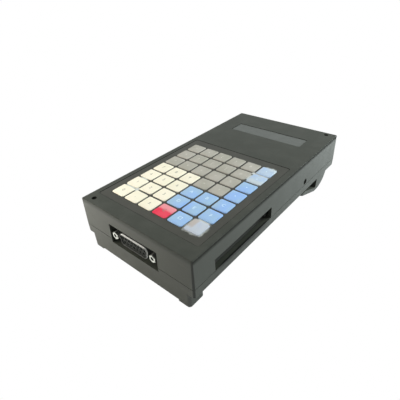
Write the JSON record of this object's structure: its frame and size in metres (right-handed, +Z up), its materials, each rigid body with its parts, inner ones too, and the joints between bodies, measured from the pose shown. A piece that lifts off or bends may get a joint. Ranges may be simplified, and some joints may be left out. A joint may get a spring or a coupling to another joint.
{
  "type": "handheld programmer",
  "caption": "Handheld controller programmer in a moulded case with a display, sprung keys, a side card slot, an end socket and a hanging hook underneath.",
  "frame": {"origin": "under the middle of the case, on the surface that it rests on", "axes": "+X to the user's right, +Y towards the display, +Z up out of the keys"},
  "size_m": [0.096, 0.184, 0.0379],
  "materials": {
    "case_plastic": "fine moulded texture, lightly worn",
    "bezel_plastic": "fine moulded texture",
    "key_grey": "satin, worn",
    "key_white": "satin, yellowed",
    "key_blue": "satin, worn",
    "key_red": "satin",
    "dome_rubber": "matt",
    "board_laminate": "solder resist",
    "window_acrylic": "clear, tinted",
    "display_glass": "reflective display, off",
    "frame_steel": "blackened sheet",
    "plated_steel": "nickel plated",
    "insulator_plastic": "moulded",
    "contact_brass": "gold flashed",
    "trimmer_plastic": "moulded",
    "rotor_plastic": "moulded",
    "screw_steel": "zinc plated"
  },
  "bodies": {
    "case": {"front_housing": "case_plastic", "rear_housing": "case_plastic", "keypad_bezel": "bezel_plastic", "dome_sheet": "dome_rubber", "keypad_board": "board_laminate", "display_window": "window_acrylic", "display_frame": "frame_steel", "display_glass": "display_glass", "display_board": "board_laminate", "main_board": "board_laminate", "socket_shell": "plated_steel", "socket_insulator": "insulator_plastic", "socket_contacts": "contact_brass", "jack_posts": "plated_steel", "card_guide": "insulator_plastic", "contrast_trimmer": "trimmer_plastic", "case_screws": "screw_steel"},
    "contrast_rotor": {"contrast_rotor": "rotor_plastic"},
    "key_row1_col1": {"key_row1_col1": "key_grey"},
    "key_row1_col2": {"key_row1_col2": "key_grey"},
    "key_row1_col3": {"key_row1_col3": "key_grey"},
    "key_row1_col4": {"key_row1_col4": "key_grey"},
    "key_row1_col5": {"key_row1_col5": "key_grey"},
    "key_row1_col6": {"key_row1_col6": "key_blue"},
    "key_row2_col1": {"key_row2_col1": "key_grey"},
    "key_row2_col2": {"key_row2_col2": "key_grey"},
    "key_row2_col3": {"key_row2_col3": "key_grey"},
    "key_row2_col4": {"key_row2_col4": "key_grey"},
    "key_row2_col5": {"key_row2_col5": "key_grey"},
    "key_row2_col6": {"key_row2_col6": "key_blue"},
    "key_row3_col1": {"key_row3_col1": "key_grey"},
    "key_row3_col2": {"key_row3_col2": "key_grey"},
    "key_row3_col3": {"key_row3_col3": "key_grey"},
    "key_row3_col4": {"key_row3_col4": "key_grey"},
    "key_row3_col5": {"key_row3_col5": "key_grey"},
    "key_row3_col6": {"key_row3_col6": "key_blue"},
    "key_row4_col1": {"key_row4_col1": "key_white"},
    "key_row4_col2": {"key_row4_col2": "key_white"},
    "key_row4_col3": {"key_row4_col3": "key_white"},
    "key_row4_col4": {"key_row4_col4": "key_grey"},
    "key_row4_col5": {"key_row4_col5": "key_grey"},
    "key_row4_col6": {"key_row4_col6": "key_blue"},
    "key_row5_col1": {"key_row5_col1": "key_white"},
    "key_row5_col2": {"key_row5_col2": "key_white"},
    "key_row5_col3": {"key_row5_col3": "key_white"},
    "key_row5_col4": {"key_row5_col4": "key_blue"},
    "key_row5_col5": {"key_row5_col5": "key_blue"},
    "key_row5_col6": {"key_row5_col6": "key_blue"},
    "key_row6_col1": {"key_row6_col1": "key_white"},
    "key_row6_col2": {"key_row6_col2": "key_white"},
    "key_row6_col3": {"key_row6_col3": "key_white"},
    "key_row6_col4": {"key_row6_col4": "key_blue"},
    "key_row6_col5": {"key_row6_col5": "key_blue"},
    "key_row6_col6": {"key_row6_col6": "key_blue"},
    "key_row7_col1": {"key_row7_col1": "key_white"},
    "key_row7_col2": {"key_row7_col2": "key_white"},
    "key_row7_col3": {"key_row7_col3": "key_white"},
    "key_row7_col4": {"key_row7_col4": "key_red"},
    "key_row7_col5": {"key_row7_col5": "key_blue"},
    "key_row7_col6": {"key_row7_col6": "key_blue"}
  },
  "joints": [
    {"name": "key_row1_col1_press", "type": "slide", "parent": "case", "child": "key_row1_col1", "axis": [0, 0, -1], "range_m": [0, 0.0005], "stiffness_N_per_m": 1500},
    {"name": "key_row1_col2_press", "type": "slide", "parent": "case", "child": "key_row1_col2", "axis": [0, 0, -1], "range_m": [0, 0.0005], "stiffness_N_per_m": 1500},
    {"name": "key_row1_col3_press", "type": "slide", "parent": "case", "child": "key_row1_col3", "axis": [0, 0, -1], "range_m": [0, 0.0005], "stiffness_N_per_m": 1500},
    {"name": "key_row1_col4_press", "type": "slide", "parent": "case", "child": "key_row1_col4", "axis": [0, 0, -1], "range_m": [0, 0.0005], "stiffness_N_per_m": 1500},
    {"name": "key_row1_col5_press", "type": "slide", "parent": "case", "child": "key_row1_col5", "axis": [0, 0, -1], "range_m": [0, 0.0005], "stiffness_N_per_m": 1500},
    {"name": "key_row1_col6_press", "type": "slide", "parent": "case", "child": "key_row1_col6", "axis": [0, 0, -1], "range_m": [0, 0.0005], "stiffness_N_per_m": 1500},
    {"name": "key_row2_col1_press", "type": "slide", "parent": "case", "child": "key_row2_col1", "axis": [0, 0, -1], "range_m": [0, 0.0005], "stiffness_N_per_m": 1500},
    {"name": "key_row2_col2_press", "type": "slide", "parent": "case", "child": "key_row2_col2", "axis": [0, 0, -1], "range_m": [0, 0.0005], "stiffness_N_per_m": 1500},
    {"name": "key_row2_col3_press", "type": "slide", "parent": "case", "child": "key_row2_col3", "axis": [0, 0, -1], "range_m": [0, 0.0005], "stiffness_N_per_m": 1500},
    {"name": "key_row2_col4_press", "type": "slide", "parent": "case", "child": "key_row2_col4", "axis": [0, 0, -1], "range_m": [0, 0.0005], "stiffness_N_per_m": 1500},
    {"name": "key_row2_col5_press", "type": "slide", "parent": "case", "child": "key_row2_col5", "axis": [0, 0, -1], "range_m": [0, 0.0005], "stiffness_N_per_m": 1500},
    {"name": "key_row2_col6_press", "type": "slide", "parent": "case", "child": "key_row2_col6", "axis": [0, 0, -1], "range_m": [0, 0.0005], "stiffness_N_per_m": 1500},
    {"name": "key_row3_col1_press", "type": "slide", "parent": "case", "child": "key_row3_col1", "axis": [0, 0, -1], "range_m": [0, 0.0005], "stiffness_N_per_m": 1500},
    {"name": "key_row3_col2_press", "type": "slide", "parent": "case", "child": "key_row3_col2", "axis": [0, 0, -1], "range_m": [0, 0.0005], "stiffness_N_per_m": 1500},
    {"name": "key_row3_col3_press", "type": "slide", "parent": "case", "child": "key_row3_col3", "axis": [0, 0, -1], "range_m": [0, 0.0005], "stiffness_N_per_m": 1500},
    {"name": "key_row3_col4_press", "type": "slide", "parent": "case", "child": "key_row3_col4", "axis": [0, 0, -1], "range_m": [0, 0.0005], "stiffness_N_per_m": 1500},
    {"name": "key_row3_col5_press", "type": "slide", "parent": "case", "child": "key_row3_col5", "axis": [0, 0, -1], "range_m": [0, 0.0005], "stiffness_N_per_m": 1500},
    {"name": "key_row3_col6_press", "type": "slide", "parent": "case", "child": "key_row3_col6", "axis": [0, 0, -1], "range_m": [0, 0.0005], "stiffness_N_per_m": 1500},
    {"name": "key_row4_col1_press", "type": "slide", "parent": "case", "child": "key_row4_col1", "axis": [0, 0, -1], "range_m": [0, 0.0005], "stiffness_N_per_m": 1500},
    {"name": "key_row4_col2_press", "type": "slide", "parent": "case", "child": "key_row4_col2", "axis": [0, 0, -1], "range_m": [0, 0.0005], "stiffness_N_per_m": 1500},
    {"name": "key_row4_col3_press", "type": "slide", "parent": "case", "child": "key_row4_col3", "axis": [0, 0, -1], "range_m": [0, 0.0005], "stiffness_N_per_m": 1500},
    {"name": "key_row4_col4_press", "type": "slide", "parent": "case", "child": "key_row4_col4", "axis": [0, 0, -1], "range_m": [0, 0.0005], "stiffness_N_per_m": 1500},
    {"name": "key_row4_col5_press", "type": "slide", "parent": "case", "child": "key_row4_col5", "axis": [0, 0, -1], "range_m": [0, 0.0005], "stiffness_N_per_m": 1500},
    {"name": "key_row4_col6_press", "type": "slide", "parent": "case", "child": "key_row4_col6", "axis": [0, 0, -1], "range_m": [0, 0.0005], "stiffness_N_per_m": 1500},
    {"name": "key_row5_col1_press", "type": "slide", "parent": "case", "child": "key_row5_col1", "axis": [0, 0, -1], "range_m": [0, 0.0005], "stiffness_N_per_m": 1500},
    {"name": "key_row5_col2_press", "type": "slide", "parent": "case", "child": "key_row5_col2", "axis": [0, 0, -1], "range_m": [0, 0.0005], "stiffness_N_per_m": 1500},
    {"name": "key_row5_col3_press", "type": "slide", "parent": "case", "child": "key_row5_col3", "axis": [0, 0, -1], "range_m": [0, 0.0005], "stiffness_N_per_m": 1500},
    {"name": "key_row5_col4_press", "type": "slide", "parent": "case", "child": "key_row5_col4", "axis": [0, 0, -1], "range_m": [0, 0.0005], "stiffness_N_per_m": 1500},
    {"name": "key_row5_col5_press", "type": "slide", "parent": "case", "child": "key_row5_col5", "axis": [0, 0, -1], "range_m": [0, 0.0005], "stiffness_N_per_m": 1500},
    {"name": "key_row5_col6_press", "type": "slide", "parent": "case", "child": "key_row5_col6", "axis": [0, 0, -1], "range_m": [0, 0.0005], "stiffness_N_per_m": 1500},
    {"name": "key_row6_col1_press", "type": "slide", "parent": "case", "child": "key_row6_col1", "axis": [0, 0, -1], "range_m": [0, 0.0005], "stiffness_N_per_m": 1500},
    {"name": "key_row6_col2_press", "type": "slide", "parent": "case", "child": "key_row6_col2", "axis": [0, 0, -1], "range_m": [0, 0.0005], "stiffness_N_per_m": 1500},
    {"name": "key_row6_col3_press", "type": "slide", "parent": "case", "child": "key_row6_col3", "axis": [0, 0, -1], "range_m": [0, 0.0005], "stiffness_N_per_m": 1500},
    {"name": "key_row6_col4_press", "type": "slide", "parent": "case", "child": "key_row6_col4", "axis": [0, 0, -1], "range_m": [0, 0.0005], "stiffness_N_per_m": 1500},
    {"name": "key_row6_col5_press", "type": "slide", "parent": "case", "child": "key_row6_col5", "axis": [0, 0, -1], "range_m": [0, 0.0005], "stiffness_N_per_m": 1500},
    {"name": "key_row6_col6_press", "type": "slide", "parent": "case", "child": "key_row6_col6", "axis": [0, 0, -1], "range_m": [0, 0.0005], "stiffness_N_per_m": 1500},
    {"name": "key_row7_col1_press", "type": "slide", "parent": "case", "child": "key_row7_col1", "axis": [0, 0, -1], "range_m": [0, 0.0005], "stiffness_N_per_m": 1500},
    {"name": "key_row7_col2_press", "type": "slide", "parent": "case", "child": "key_row7_col2", "axis": [0, 0, -1], "range_m": [0, 0.0005], "stiffness_N_per_m": 1500},
    {"name": "key_row7_col3_press", "type": "slide", "parent": "case", "child": "key_row7_col3", "axis": [0, 0, -1], "range_m": [0, 0.0005], "stiffness_N_per_m": 1500},
    {"name": "key_row7_col4_press", "type": "slide", "parent": "case", "child": "key_row7_col4", "axis": [0, 0, -1], "range_m": [0, 0.0005], "stiffness_N_per_m": 1500},
    {"name": "key_row7_col5_press", "type": "slide", "parent": "case", "child": "key_row7_col5", "axis": [0, 0, -1], "range_m": [0, 0.0005], "stiffness_N_per_m": 1500},
    {"name": "key_row7_col6_press", "type": "slide", "parent": "case", "child": "key_row7_col6", "axis": [0, 0, -1], "range_m": [0, 0.0005], "stiffness_N_per_m": 1500},
    {"name": "contrast_turn", "type": "hinge", "parent": "case", "child": "contrast_rotor", "pos_m": [0.0417, 0.0364, 0.0201], "axis": [1, 0, 0], "range_deg": [-135, 135]}
  ]
}
